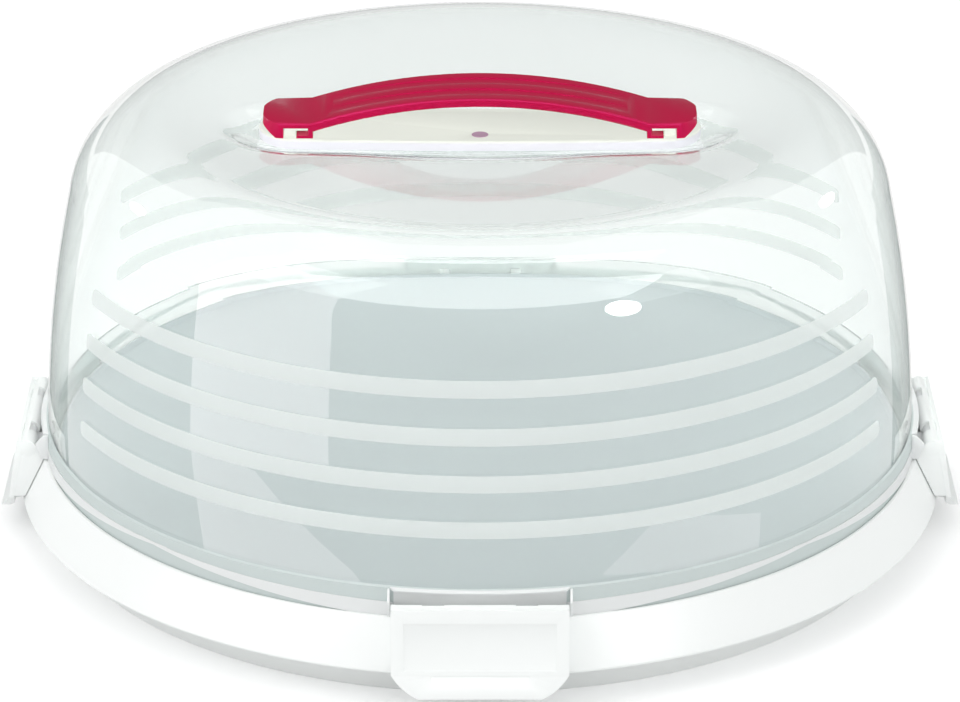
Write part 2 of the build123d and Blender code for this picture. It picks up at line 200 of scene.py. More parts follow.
def clearStyrene():
    # clear SAN, moulded: a clean refractive shell whose long paths at the edges turn grey green
    s = clearSettings
    material, tree = newMaterial("clear SAN, moulded")
    shell = addNode(tree, 'ShaderNodeBsdfPrincipled', {
        "Base Color": linear(s["tint"]), "Roughness": s["roughness"], "IOR": s["ior"],
        "Specular IOR Level": s["gloss"], "Transmission Weight": 1.0})
    path = addNode(tree, 'ShaderNodeLightPath')
    openLamp = addNode(tree, 'ShaderNodeBsdfTransparent', {"Color": linear("fcfefd")})
    mix = addNode(tree, 'ShaderNodeMixShader', links={0: path.outputs["Is Shadow Ray"]})
    tree.links.new(shell.outputs[0], mix.inputs[1])
    tree.links.new(openLamp.outputs[0], mix.inputs[2])
    depth = addNode(tree, 'ShaderNodeVolumeAbsorption', {
        "Color": linear(s["depthTint"]), "Density": s["density"]})
    finishMaterial(tree, mix.outputs[0], depth.outputs[0])
    return material


frostSettings = {"colour": "f6faf9", "cover": 0.55, "backlit": 0.4, "roughness": 0.5, "grain": 0.0006}
# back bands: a copy of the band finish with less veil, so they read lighter: painted light from behind
backLitFrostSettings = {"colour": "f1f4f3", "cover": 0.40, "backlit": 0.4, "roughness": 0.5, "grain": 0.0006}
# front arc of the rim: grey-green, partly the plastic's own tint and partly painted shade
rimShadedFrostSettings = {"colour": "dbe4e3", "cover": 0.86, "backlit": 0.15, "roughness": 0.40, "grain": 0.0008}
# rear arc of the rim: a lighter, strongly backlit copy of the rim finish, painted light from behind
rearRimLitSettings = {"colour": "f4f7f7", "cover": 0.35, "backlit": 0.80, "roughness": 0.40, "grain": 0.0008}
# wings, pads, lugs, eaves and fins of the rim: a near-white copy of the rim finish, painted light
litRimPieceSettings = {"colour": "f8fafa", "cover": 0.90, "backlit": 0.15, "roughness": 0.40, "grain": 0.0008}


def frostedStyrene(name, s):
    # SAN with an etched mould face: a milky band that veils what lies behind it and passes light on
    material, tree = newMaterial(name)
    place = addNode(tree, 'ShaderNodeTexCoord')
    grit = addNode(tree, 'ShaderNodeTexNoise', {"Scale": 1 / s["grain"], "Detail": 2.0},
                   {"Vector": place.outputs["Object"]})
    bump = addNode(tree, 'ShaderNodeBump', {"Strength": 0.15, "Distance": 0.00005},
                   {"Height": grit.outputs["Fac"]})
    face = addNode(tree, 'ShaderNodeBsdfPrincipled', {
        "Base Color": linear(s["colour"]), "Roughness": s["roughness"], "IOR": 1.5},
        {"Normal": bump.outputs["Normal"]})
    glow = addNode(tree, 'ShaderNodeBsdfTranslucent', {"Color": linear(s["colour"])},
                   {"Normal": bump.outputs["Normal"]})
    milk = addNode(tree, 'ShaderNodeMixShader', {0: s["backlit"]})
    tree.links.new(face.outputs[0], milk.inputs[1])
    tree.links.new(glow.outputs[0], milk.inputs[2])
    through = addNode(tree, 'ShaderNodeBsdfTransparent')
    mix = addNode(tree, 'ShaderNodeMixShader', {0: s["cover"]})
    tree.links.new(through.outputs[0], mix.inputs[1])
    tree.links.new(milk.outputs[0], mix.inputs[2])
    finishMaterial(tree, mix.outputs[0])
    return material


def mouldedPlastic(name, s):
    # an opaque moulding: colour that drifts a little, a soft orange peel and faint handling haze
    material, tree = newMaterial(name)
    place = addNode(tree, 'ShaderNodeTexCoord')
    drift = addNode(tree, 'ShaderNodeTexNoise', {"Scale": 1 / s["driftSize"], "Detail": 2.0},
                    {"Vector": place.outputs["Object"]})
    colour = addNode(tree, 'ShaderNodeMix', {"data_type": 'RGBA'}, {"Factor": drift.outputs["Fac"]})
    colour.inputs[6].default_value = linear(s["colour"])
    colour.inputs[7].default_value = linear(s["colourAlso"])
    if "lowerShadeColour" in s:  # painted shade: below this height the seat's walls take a cooler lilac tone
        height = addNode(tree, 'ShaderNodeSeparateXYZ', links={0: place.outputs["Object"]})
        upper = addNode(tree, 'ShaderNodeMapRange', {"From Min": s["lowerShadeZ"][0], "From Max": s["lowerShadeZ"][1]},
                        {"Value": height.outputs["Z"]})
        body = colour
        colour = addNode(tree, 'ShaderNodeMix', {"data_type": 'RGBA'}, {"Factor": upper.outputs[0]})
        colour.inputs[6].default_value = linear(s["lowerShadeColour"])
        tree.links.new(body.outputs[2], colour.inputs[7])
    haze = addNode(tree, 'ShaderNodeTexNoise', {"Scale": 1 / s["hazeSize"], "Detail": 4.0},
                   {"Vector": place.outputs["Object"]})
    rough = addNode(tree, 'ShaderNodeMapRange', {"To Min": s["roughness"][0], "To Max": s["roughness"][1]},
                    {"Value": haze.outputs["Fac"]})
    peel = addNode(tree, 'ShaderNodeTexNoise', {"Scale": 1 / s["peelSize"], "Detail": 3.0},
                   {"Vector": place.outputs["Object"]})
    bump = addNode(tree, 'ShaderNodeBump', {"Strength": s["peelStrength"], "Distance": s["peelDepth"]},
                   {"Height": peel.outputs["Fac"]})
    face = addNode(tree, 'ShaderNodeBsdfPrincipled', {
        "IOR": s["ior"], "Specular IOR Level": s["gloss"],
        "Specular Tint": linear(s.get("sheen", "ffffff"))}, {
        "Base Color": colour.outputs[2], "Roughness": rough.outputs[0], "Normal": bump.outputs["Normal"]})
    finishMaterial(tree, face.outputs[0])
    return material


whiteSettings = {"colour": "f9fbfa", "colourAlso": "f5f8f7", "driftSize": 0.08, "hazeSize": 0.03,
                 "roughness": (0.26, 0.38), "peelSize": 0.004, "peelStrength": 0.12, "peelDepth": 0.0002,
                 "ior": 1.49, "gloss": 0.22}
greySettings = {"colour": "acb5b7", "colourAlso": "a9b2b4", "driftSize": 0.09, "hazeSize": 0.015,
                "roughness": (0.27, 0.31), "peelSize": 0.0016, "peelStrength": 0.05, "peelDepth": 0.00001,
                "ior": 1.49, "gloss": 0.45}
# the lilac tone on the seat's walls below the given height is painted shade
creamSettings = {"colour": "eff1e7", "colourAlso": "ebeee4", "driftSize": 0.05, "hazeSize": 0.02,
                 "roughness": (0.35, 0.48), "peelSize": 0.003, "peelStrength": 0.12, "peelDepth": 0.0002,
                 "ior": 1.49, "gloss": 0.3, "lowerShadeColour": "eeedf4", "lowerShadeZ": (0.1496, 0.1503)}
redSettings = {"colour": "c10f43", "colourAlso": "b90d3d", "driftSize": 0.03, "hazeSize": 0.012,
               "roughness": (0.16, 0.22), "peelSize": 0.003, "peelStrength": 0.10, "peelDepth": 0.00008,
               "ior": 1.46, "gloss": 0.45, "sheen": "ff70c8"}

clear = clearStyrene()
frosted = frostedStyrene("frosted SAN, etched mould", frostSettings)
backLitFrosted = frostedStyrene("frosted SAN, etched mould, lit back copy", backLitFrostSettings)
rimShadedFrosted = frostedStyrene("frosted SAN rim, satin mould", rimShadedFrostSettings)
rearRimLitFrosted = frostedStyrene("frosted SAN rim, satin mould, lit rear copy", rearRimLitSettings)
# the lighter rim pieces carry painted light
litRimPieceFrosted = frostedStyrene("frosted SAN rim pieces, satin mould, lit copy", litRimPieceSettings)
white = mouldedPlastic("white polypropylene, moulded", whiteSettings)
grey = mouldedPlastic("blue grey polypropylene, moulded", greySettings)
cream = mouldedPlastic("cream polypropylene, moulded", creamSettings)
raspberry = mouldedPlastic("raspberry polypropylene, moulded", redSettings)
print("materials made")

lidShape = {
    "wall": 0.0020, "footR": 0.1609, "lowZ": 0.0284, "bandZ": 0.0410, "bandProud": 0.0008,
    "midLean": 0.0033, "midZ": 0.0860, "shoulderR": 0.1495, "shoulderZ": 0.1314, "shoulderSlope": 13.2,
    "shoulderBend": 0.0326, "dishSlope": 5.5, "dishSoft": 0.0120, "dishSteps": 64, "turnSteps": 288,
    "seatFloor": 0.14692, "seatRun": 0.066, "seatEnd": 0.0152, "seatMiddle": 0.0184,
    "recessReach": 0.0115, "recessRise": 0.0050, "recessBlend": 0.0040,
    "sideR": 0.0820, "sideReach": 0.0355, "sideSink": 0.0034,
    "innerRound": 0.0005, "outerRound": 0.0007, "bandRound": 0.0006, "arcSteps": 24, "lugCut": 0.00004,
}
crestZ = lidShape["shoulderZ"] + lidShape["shoulderBend"] * (1 - sin(radians(lidShape["shoulderSlope"])))


def circleThrough(a, b, c):
    # centre and radius of the circle through three points
    d = 2 * (a[0] * (b[1] - c[1]) + b[0] * (c[1] - a[1]) + c[0] * (a[1] - b[1]))
    sa, sb, sc = (p[0] ** 2 + p[1] ** 2 for p in (a, b, c))
    x = (sa * (b[1] - c[1]) + sb * (c[1] - a[1]) + sc * (a[1] - b[1])) / d
    y = (sa * (c[0] - b[0]) + sb * (a[0] - c[0]) + sc * (b[0] - a[0])) / d
    return (x, y), hypot(a[0] - x, a[1] - y)


def domeOutline(inset):
    # from the foot of the dome up the wall, over the crest and down to the middle of the hollow
    s = lidShape
    slope = radians(s["shoulderSlope"])
    foot = (s["footR"] - inset, s["bandZ"])
    middle = (s["footR"] - s["midLean"] - inset, s["midZ"])
    top = (s["shoulderR"] - inset * cos(slope), s["shoulderZ"] - inset * sin(slope))
    centre, radius = circleThrough(foot, middle, top)
    start = degrees(atan2(foot[1] - centre[1], foot[0] - centre[0]))
    end = degrees(atan2(top[1] - centre[1], top[0] - centre[0]))
    points = [foot] + arcPoints(centre, radius, start, end, s["arcSteps"])
    bend = s["shoulderBend"]
    hub = (s["shoulderR"] - bend * cos(slope), s["shoulderZ"] - bend * sin(slope))
    dip = radians(s["dishSlope"])
    points += arcPoints(hub, bend - inset, s["shoulderSlope"], 90 + s["dishSlope"], s["arcSteps"])
    edgeR = hub[0] - (bend - inset) * sin(dip)
    edgeZ = hub[1] + (bend - inset) * cos(dip)
    soft = s["dishSoft"]
    for step in range(1, s["dishSteps"] + 1):
        r = edgeR * (1 - step / s["dishSteps"])
        points.append((r, edgeZ - tan(dip) * (hypot(edgeR, soft) - hypot(r, soft))))
    return points


def domeRadius(z):
    s = lidShape
    centre, radius = circleThrough((s["footR"], s["bandZ"]), (s["footR"] - s["midLean"], s["midZ"]),
                                   (s["shoulderR"], s["shoulderZ"]))
    return centre[0] + sqrt(radius ** 2 - (z - centre[1]) ** 2)


def seatGap(x, y):
    # how far outside the edge of the handle's seat a point lies
    s = lidShape
    along = abs(x)
    if along > s["seatRun"]:
        return hypot(along - s["seatRun"], y) - s["seatEnd"]
    return abs(y) - s["seatMiddle"] + (s["seatMiddle"] - s["seatEnd"]) * (along / s["seatRun"]) ** 2


def edgeDrop(r):
    # how far the hollow lies below the crest at this radius
    s = lidShape
    dip, soft = radians(s["dishSlope"]), s["dishSoft"]
    edgeR = s["shoulderR"] - s["shoulderBend"] * (cos(radians(s["shoulderSlope"])) + sin(dip))
    return s["shoulderBend"] * (1 - cos(dip)) + tan(dip) * (hypot(edgeR, soft) - hypot(min(r, edgeR), soft))


def sinkRecess(dome):
    # a shallow bed round the seat, blended into the hollow of the lid
    s = lidShape
    for vertex in dome.data.vertices:
        x, y, z = vertex.co
        r = hypot(x, y)
        if z < s["seatFloor"] - 2 * s["wall"] or r > s["shoulderR"] - s["shoulderBend"]:
            continue
        gap = max(0.0, seatGap(x, y))
        bed = s["seatFloor"] + s["recessRise"] * (gap / s["recessReach"]) ** 2
        hump = max(0.0, 1 - ((r - s["sideR"]) / s["sideReach"]) ** 2)
        extra = s["sideSink"] * (x / max(r, tiny)) ** 4 * hump ** 2
        top = crestZ - edgeDrop(r) - extra
        blend = max(0.0, 1 - abs(bed - top) / s["recessBlend"])
        sunk = top - min(bed, top) + blend ** 2 * s["recessBlend"] / 4
        vertex.co.z -= sunk + extra


def makeDome():
    s = lidShape
    outerFoot = s["footR"] + s["bandProud"]
    innerFoot = s["footR"] - s["wall"]
    rim = filletCorners([
        (innerFoot, s["bandZ"], 0), (innerFoot, s["lowZ"], s["innerRound"]),
        (outerFoot, s["lowZ"], s["outerRound"]), (outerFoot, s["bandZ"], s["bandRound"]),
        (s["footR"], s["bandZ"], 0)])
    outside = domeOutline(0)
    inside = domeOutline(s["wall"])
    outline = list(reversed(inside)) + rim[1:-1] + outside
    dome = turnedPiece("dome_shell", outline, s["turnSteps"])
    sinkRecess(dome)
    smoothByAngle(dome)
    setMaterial(dome, clear)
    return dome


def makeLugs():
    # the hinge lugs, cut from a copy of the CAD lid where they stand outside its rim band
    s = lidShape
    lugs = softenedCopy("lid", "dome_lugs", 0)
    edge = s["footR"] + s["bandProud"] + s["lugCut"]
    bpy.ops.object.mode_set(mode='EDIT')
    bpy.ops.mesh.select_all(action='DESELECT')
    bpy.ops.mesh.select_mode(type='FACE')
    leaveEdit()
    for face in lugs.data.polygons:
        face.select = hypot(face.center.x, face.center.y) < edge
    bpy.ops.object.mode_set(mode='EDIT')
    bpy.ops.mesh.delete(type='FACE')
    bpy.ops.mesh.select_all(action='SELECT')
    bpy.ops.mesh.fill_holes(sides=0)
    leaveEdit()
    setMaterial(lugs, litRimPieceFrosted)
    return lugs


dome = makeDome()
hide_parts("lid")
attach(dome, "lid")
lugs = makeLugs()
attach(lugs, "lid")
print("dome made, crest at", round(crestZ * 1000, 2), "mm")

bandShape = {"count": 4, "topZ": 0.1120, "pitch": 0.01645, "height": 0.0060, "sweep": 126.0,
             "lift": 0.00008, "thick": 0.00016, "endRound": 0.0022, "along": 120, "across": 8}


def makeBand(name, z, heading, finish):
    # a flat grid with rounded ends, wrapped on the wall of the dome
    s = bandShape
    deselectAll()
    bpy.ops.mesh.primitive_grid_add(x_subdivisions=s["along"], y_subdivisions=s["across"], size=2)
    band = bpy.context.object
    band.name = name
    half = s["height"] / 2
    reach = radians(s["sweep"] / 2) * domeRadius(z)
    flat = half - s["endRound"]
    for vertex in band.data.vertices:
        up = vertex.co.y * half
        over = max(0.0, abs(up) - flat)
        end = reach - s["endRound"] + sqrt(max(0.0, s["endRound"] ** 2 - over ** 2))
        turn = radians(heading) + vertex.co.x * end / domeRadius(z)
        r = domeRadius(z + up) + s["lift"]
        vertex.co = (r * cos(turn), r * sin(turn), z + up)
    applyModifier(band, 'SOLIDIFY', thickness=s["thick"], offset=1.0)
    smoothByAngle(band)
    setMaterial(band, finish)
    return band


for side, heading, finish in (("front", -90, frosted), ("back", 90, backLitFrosted)):
    for step in range(bandShape["count"]):
        if side == "back" and step == 0:
            continue  # the top band is on the front only
        z = bandShape["topZ"] - step * bandShape["pitch"]
        band = makeBand("frosted_band_%s_%d" % (side, step + 1), z, heading, finish)
        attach(band, "lid")
print("frosted bands made")

rimFrostShape = {"lowZ": 0.0290, "highZ": 0.0407, "ledgeZ": 0.0412, "lift": 0.00005, "thick": 0.00012,
                 "steps": 288, "splitY": 0.060}


def makeRimFrost(name, rear, finish):
    # the satin face of the lid's rim band, cut across so that the rear arc can take a lighter, more backlit
    # copy of the finish: painted light from behind
    s = rimFrostShape
    r = lidShape["footR"] + lidShape["bandProud"] + s["lift"]
    ledgeR = lidShape["footR"] + s["lift"]
    outline = [(r, s["lowZ"]), (r + s["thick"], s["lowZ"]), (r + s["thick"], s["highZ"]),
               (ledgeR + s["thick"], s["ledgeZ"]), (ledgeR, s["ledgeZ"]), (r, s["highZ"]), (r, s["lowZ"])]
    rim = turnedPiece(name, outline, s["steps"])
    makeActive(rim)
    editAll()
    bpy.ops.mesh.bisect(plane_co=(0, s["splitY"], 0), plane_no=(0, 1, 0), use_fill=True,
                        clear_inner=rear, clear_outer=not rear)
    leaveEdit()
    smoothByAngle(rim)
    setMaterial(rim, finish)
    return rim


rimArcs = (("rim_satin_band", False, rimShadedFrosted), ("rim_satin_band_rear", True, rearRimLitFrosted))
for name, rear, finish in rimArcs:
    rim = makeRimFrost(name, rear, finish)
    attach(rim, "lid")

wingShape = {"start": 10.6, "end": 47.5, "startZ": 0.0323, "endZ": 0.0368, "startHalf": 0.0031,
             "endHalf": 0.0003, "lift": 0.00022, "thick": 0.0003, "along": 48, "across": 4}
padShape = {"start": -10.5, "end": 10.5, "startZ": 0.0348, "endZ": 0.0348, "startHalf": 0.0056,
            "endHalf": 0.0056, "lift": 0.00022, "thick": 0.0003, "along": 32, "across": 4}


def makeWing(name, heading, side, s):
    # a thicker strip of the rim: it tapers away from the clip, or backs the hinge
    deselectAll()
    bpy.ops.mesh.primitive_grid_add(x_subdivisions=s["along"], y_subdivisions=s["across"], size=2)
    wing = bpy.context.object
    wing.name = name
    r = lidShape["footR"] + lidShape["bandProud"] + s["lift"]
    for vertex in wing.data.vertices:
        share = (vertex.co.x + 1) / 2
        turn = radians(heading + side * (s["start"] + (s["end"] - s["start"]) * share))
        half = s["startHalf"] + (s["endHalf"] - s["startHalf"]) * share
        z = s["startZ"] + (s["endZ"] - s["startZ"]) * share + vertex.co.y * half
        vertex.co = (r * cos(turn), r * sin(turn), z)
    makeActive(wing)
    editAll()
    if side < 0:
        bpy.ops.mesh.flip_normals()
    leaveEdit()
    applyModifier(wing, 'SOLIDIFY', thickness=s["thick"], offset=1.0)
    smoothByAngle(wing)
    setMaterial(wing, litRimPieceFrosted)
    return wing


for name, heading in headings.items():
    for side in (-1, 1):
        wing = makeWing("rim_wing_%s_%s" % (name, "a" if side < 0 else "b"), heading, side, wingShape)
        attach(wing, "lid")
    pad = makeWing("rim_pad_" + name, heading, 1, padShape)
    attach(pad, "lid")

eaveShape = {"half": 11.0, "lowZ": 0.0401, "highZ": 0.0409, "inR": 0.1612, "outR": 0.1636, "corner": 0.8,
             "tip": 0.04, "edge": 0.00025, "along": 40}
finShape = {"inner": 0.03078, "wall": 0.0009, "edge": 0.00025,
            "outline": ((0.1588, 0.0405), (0.1606, 0.0405), (0.1637, 0.0372), (0.1617, 0.0311),
                        (0.1588, 0.0311))}


def makeEave(name, heading):
    # a thin shelf of the rim that covers the hinge from above
    s = eaveShape
    deselectAll()
    bpy.ops.mesh.primitive_grid_add(x_subdivisions=s["along"], y_subdivisions=2, size=2)
    eave = bpy.context.object
    eave.name = name
    for vertex in eave.data.vertices:
        share = max(0.0, (abs(vertex.co.x) * s["half"] - s["half"] + s["corner"]) / s["corner"])
        reach = (s["outR"] - s["inR"]) * sqrt(max(s["tip"], 1 - share ** 2))
        turn = radians(heading + vertex.co.x * s["half"])
        r = s["inR"] + reach * (vertex.co.y + 1) / 2
        vertex.co = (r * cos(turn), r * sin(turn), s["highZ"])
    makeActive(eave)
    editAll()
    bpy.ops.mesh.normals_make_consistent(inside=False)
    leaveEdit()
    applyModifier(eave, 'SOLIDIFY', thickness=s["highZ"] - s["lowZ"],
                  offset=-1.0 if eave.data.polygons[0].normal.z > 0 else 1.0)
    bevelEdges(eave, s["edge"])
    smoothByAngle(eave)
    setMaterial(eave, litRimPieceFrosted)
    return eave


def makeEndWalls(name, heading, s, finish):
    # a pair of upright walls, one at each end of a clip
    deselectAll()
    bpy.ops.mesh.primitive_circle_add(vertices=len(s["outline"]), radius=1, fill_type='NGON')
    walls = bpy.context.object
    walls.name = name
    for vertex, (r, z) in zip(walls.data.vertices, s["outline"]):
        vertex.co = (r, s["inner"], z)
    editAll()
    bpy.ops.mesh.extrude_region_move(TRANSFORM_OT_translate={"value": (0, s["wall"], 0)})
    leaveEdit()
    applyModifier(walls, 'MIRROR', use_axis=(False, True, False))
    editAll()
    bpy.ops.mesh.normals_make_consistent(inside=False)
    bpy.ops.transform.rotate(value=-radians(heading), orient_axis='Z', center_override=(0, 0, 0))
    leaveEdit()
    bevelEdges(walls, s["edge"], angles["bevelEndWall"])
    smoothByAngle(walls, angles["smoothSoft"])
    setMaterial(walls, finish)
    return walls


for name, heading in headings.items():
    eave = makeEave("hinge_eave_" + name, heading)
    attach(eave, "lid")
    fins = makeEndWalls("hinge_fins_" + name, heading, finShape, litRimPieceFrosted)
    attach(fins, "lid")
print("satin rim made")

trayShape = {
    "deckZ": 0.0296, "deckWall": 0.0024, "footR": 0.1582, "footWall": 0.0022, "footLean": 0.0022,
    "skirtR": 0.1720, "skirtZ": 0.01265, "skirtWall": 0.0022, "lipZ": 0.0304, "lipWall": 0.0013,
    "grooveZ": 0.0284, "grooveIn": 0.1585, "grooveOut": 0.1621, "turnSteps": 256,
    "ceilingRound": 0.0010, "footRound": 0.0006, "underRound": 0.0008, "skirtInRound": 0.0006,
    "skirtOutRound": 0.0009, "lipOutRound": 0.0007, "lipInRound": 0.0004, "deckRound": 0.0003,
}


def makeTray():
    s = trayShape
    lipR = s["grooveOut"] + s["lipWall"]
    lean = (s["skirtR"] - lipR) / (s["lipZ"] - s["skirtZ"])
    across = s["skirtWall"] * sqrt(1 + lean ** 2)
    underZ = s["grooveZ"] - s["deckWall"]
    underR = s["skirtR"] - across - (underZ - s["skirtZ"]) * lean
    footTop = s["footR"] + s["footLean"]
    ceiling = s["deckZ"] - s["deckWall"]
    corners = [
        (0, ceiling, 0), (footTop - s["footWall"], ceiling, s["ceilingRound"]),
        (s["footR"] - s["footWall"], 0, s["footRound"]), (s["footR"], 0, s["footRound"]),
        (footTop, underZ, s["underRound"]), (underR, underZ, s["underRound"]),
        (s["skirtR"] - across, s["skirtZ"], s["skirtInRound"]),
        (s["skirtR"], s["skirtZ"], s["skirtOutRound"]),
        (lipR, s["lipZ"], s["lipOutRound"]), (s["grooveOut"], s["lipZ"], s["lipInRound"]),
        (s["grooveOut"], s["grooveZ"], 0), (s["grooveIn"], s["grooveZ"], 0),
        (s["grooveIn"], s["deckZ"], s["deckRound"]), (0, s["deckZ"], 0)]
    tray = turnedPiece("tray_shell", filletCorners(corners), s["turnSteps"])
    smoothByAngle(tray)
    setMaterial(tray, white)
    return tray


ribShape = {"count": 8, "wall": 0.0016, "depth": 0.0070, "hubR": 0.0420, "sunk": 0.0004, "edge": 0.0004,
            "endGap": 0.0014, "turnSteps": 96}


def makeTrayRibs():
    # hub ring and spokes that stiffen the deck from below
    s, t = ribShape, trayShape
    ceiling = t["deckZ"] - t["deckWall"]
    floor = ceiling - s["depth"]
    top = ceiling + s["sunk"]
    inner = s["hubR"] - s["wall"]
    outline = [(inner, top), (inner, floor), (s["hubR"], floor), (s["hubR"], top), (inner, top)]
    ribs = turnedPiece("tray_ribs", outline, s["turnSteps"])
    start = s["hubR"] - s["wall"] / 2
    end = t["footR"] + t["footLean"] - t["footWall"] - s["endGap"]
    bpy.ops.object.mode_set(mode='EDIT')
    middle = (start + end) / 2
    for step in range(s["count"]):
        turn = 2 * pi * step / s["count"]
        bpy.ops.mesh.primitive_cube_add(
            size=1, location=(middle * cos(turn), middle * sin(turn), (top + floor) / 2),
            rotation=(0, 0, turn), scale=(end - start, s["wall"], top - floor))
    leaveEdit()
    bevelEdges(ribs, s["edge"])
    smoothByAngle(ribs)
    setMaterial(ribs, white)
    return ribs


tray = makeTray()
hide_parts("base_tray")
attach(tray, "base")
ribs = makeTrayRibs()
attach(ribs, "base")
print("tray made")

plateShape = {"r": 0.1570, "deckZ": 0.0296, "wall": 0.0018, "rimWidth": 0.0026, "rimRise": 0.0015,
              "lowRound": 0.0004, "rimRound": 0.0005, "floorRound": 0.0008, "turnSteps": 256}


def makePlate():
    s = plateShape
    floorZ = s["deckZ"] + s["wall"]
    rimZ = floorZ + s["rimRise"]
    corners = [
        (0, s["deckZ"], 0), (s["r"], s["deckZ"], s["lowRound"]), (s["r"], rimZ, s["rimRound"]),
        (s["r"] - s["rimWidth"] / 2, rimZ, s["rimRound"]), (s["r"] - s["rimWidth"], floorZ, s["floorRound"]),
        (0, floorZ, 0)]
    plate = turnedPiece("serving_plate_disc", filletCorners(corners), s["turnSteps"])
    smoothByAngle(plate)
    setMaterial(plate, grey)
    return plate


plate = makePlate()
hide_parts("serving_plate")
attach(plate, "plate")
print("plate made")

clipShape = {"edge": 0.00014, "segments": 2}
cheekShape = {
    "inner": 0.02904, "wall": 0.0013, "edge": 0.0002,
    "outline": ((0.1655, 0.0376), (0.1620, 0.0345), (0.1609, 0.0308), (0.1619, 0.0285), (0.1683, 0.0156),
                (0.1734, 0.0156), (0.1703, 0.0340), (0.1701, 0.0374)),
}

for side, heading in headings.items():
    name = "clip_" + side
    cheeks = makeEndWalls(name + "_cheeks", heading, cheekShape, white)  # close the clip at its ends
    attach(cheeks, name)
    clip = softenedCopy(name, name + "_shell", clipShape["edge"], clipShape["segments"], flatten=False)
    setMaterial(clip, white)
    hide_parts(name)
    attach(clip, name)
print("clips made")

seatShape = {"edge": 0.0003, "segments": 2}
seat = softenedCopy("handle_seat", "seat_plate", seatShape["edge"], seatShape["segments"])
setMaterial(seat, cream)
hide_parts("handle_seat")
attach(seat, "lid")

strapShape = {"edge": 0.0008, "segments": 3, "lobeStart": 0.0690, "lobeEnd": 0.0802, "squareness": 2.4,
              "legZ": 0.1545}


def roundLobes(strap):
    # the lobes end in a rounder sweep
    s = strapShape
    power = s["squareness"]
    for vertex in strap.data.vertices:
        along = (abs(vertex.co.x) - s["lobeStart"]) / (s["lobeEnd"] - s["lobeStart"])
        if along > 0 and vertex.co.z > s["legZ"]:
            vertex.co.y *= (1 - min(1, along) ** power) ** (1 / power)


strap = softenedCopy("handle", "strap_handle", strapShape["edge"], strapShape["segments"])
roundLobes(strap)
smoothByAngle(strap, angles["smoothSoft"])
setMaterial(strap, raspberry)
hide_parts("handle")
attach(strap, "handle")
strap.visible_glossy = False  # no red mirror image in the lid
strap.visible_shadow = False  # the seat below stays as bright as the milky plastic looks
strap.visible_diffuse = False

gateShape = {"place": (0.0, -0.0105, 0.15061), "r": 0.0030, "rise": 0.00025, "steps": 40,
             "profile": ((0, -1), (1, -1), (1, 0.5), (0.86, 1), (0.72, 0.6), (0, 0.4))}
# the dark lilac of the gate mark is painted shade
gateShadeSettings = {"colour": "b894ab", "colourAlso": "b08ba3", "driftSize": 0.004, "hazeSize": 0.004,
                "roughness": (0.30, 0.42), "peelSize": 0.002, "peelStrength": 0.1, "peelDepth": 0.0001,
                "ior": 1.49, "gloss": 0.4}


def makeGateMark():
    # the round gate vestige, halfway along the front of the seat; its dark lilac colour is painted shade
    s = gateShape
    outline = [(s["r"] * across, s["rise"] * up) for across, up in s["profile"]]
    gate = turnedPiece("seat_gate_mark", outline, s["steps"])
    editAll()
    bpy.ops.transform.translate(value=s["place"])
    leaveEdit()
    smoothByAngle(gate, angles["smoothGate"])
    setMaterial(gate, mouldedPlastic("cream polypropylene gate mark, painted shade", gateShadeSettings))
    return gate


gate = makeGateMark()
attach(gate, "lid")
print("seat and handle made")

stageSettings = {"floorSize": 6.0, "floorColour": "f4f5f5", "floorRoughness": 0.9, "floorGlow": 0.26,
                 "lensGlow": 0.19, "worldLight": 0.81}


def seenRays(tree):
    # 1 for camera, glossy and transmission rays, 0 for the rays that light things
    path = addNode(tree, 'ShaderNodeLightPath')
    a = addNode(tree, 'ShaderNodeMath', {"operation": 'MAXIMUM'})
    b = addNode(tree, 'ShaderNodeMath', {"operation": 'MAXIMUM'})
    tree.links.new(path.outputs["Is Camera Ray"], a.inputs[0])
    tree.links.new(path.outputs["Is Glossy Ray"], a.inputs[1])
    tree.links.new(a.outputs[0], b.inputs[0])
    tree.links.new(path.outputs["Is Transmission Ray"], b.inputs[1])
    return b.outputs[0]


def makeStage():
    s = stageSettings
    deselectAll()
    bpy.ops.mesh.primitive_plane_add(size=s["floorSize"])
    floor = bpy.context.object
    floor.name = "studio_floor"
    material, tree = newMaterial("white studio sweep, paper")
    path = addNode(tree, 'ShaderNodeLightPath')
    through = addNode(tree, 'ShaderNodeMath', {"operation": 'MULTIPLY', 1: s["lensGlow"]},
                      {0: path.outputs["Is Transmission Ray"]})
    glow = addNode(tree, 'ShaderNodeMath', {"operation": 'MULTIPLY_ADD', 1: s["floorGlow"]},
                   {0: path.outputs["Is Camera Ray"], 2: through.outputs[0]})
    paper = addNode(tree, 'ShaderNodeBsdfPrincipled', {
        "Base Color": linear(s["floorColour"]), "Roughness": s["floorRoughness"],
        "Emission Color": (1, 1, 1, 1)},
        {"Emission Strength": glow.outputs[0]})
    finishMaterial(tree, paper.outputs[0])
    setMaterial(floor, material)
    floor.visible_glossy = False  # clear plastic mirrors the cards and the white studio instead
    world = bpy.data.worlds.new("studio")
    bpy.context.scene.world = world
    world.use_nodes = True
    world.node_tree.nodes.clear()
    tree = world.node_tree
    seen = seenRays(tree)
    strength = addNode(tree, 'ShaderNodeMapRange', {"To Min": s["worldLight"], "To Max": 1.0},
                       {"Value": seen})
    backdrop = addNode(tree, 'ShaderNodeBackground', {"Color": (1, 1, 1, 1)},
                       {"Strength": strength.outputs[0]})
    addNode(tree, 'ShaderNodeOutputWorld', links={"Surface": backdrop.outputs[0]})


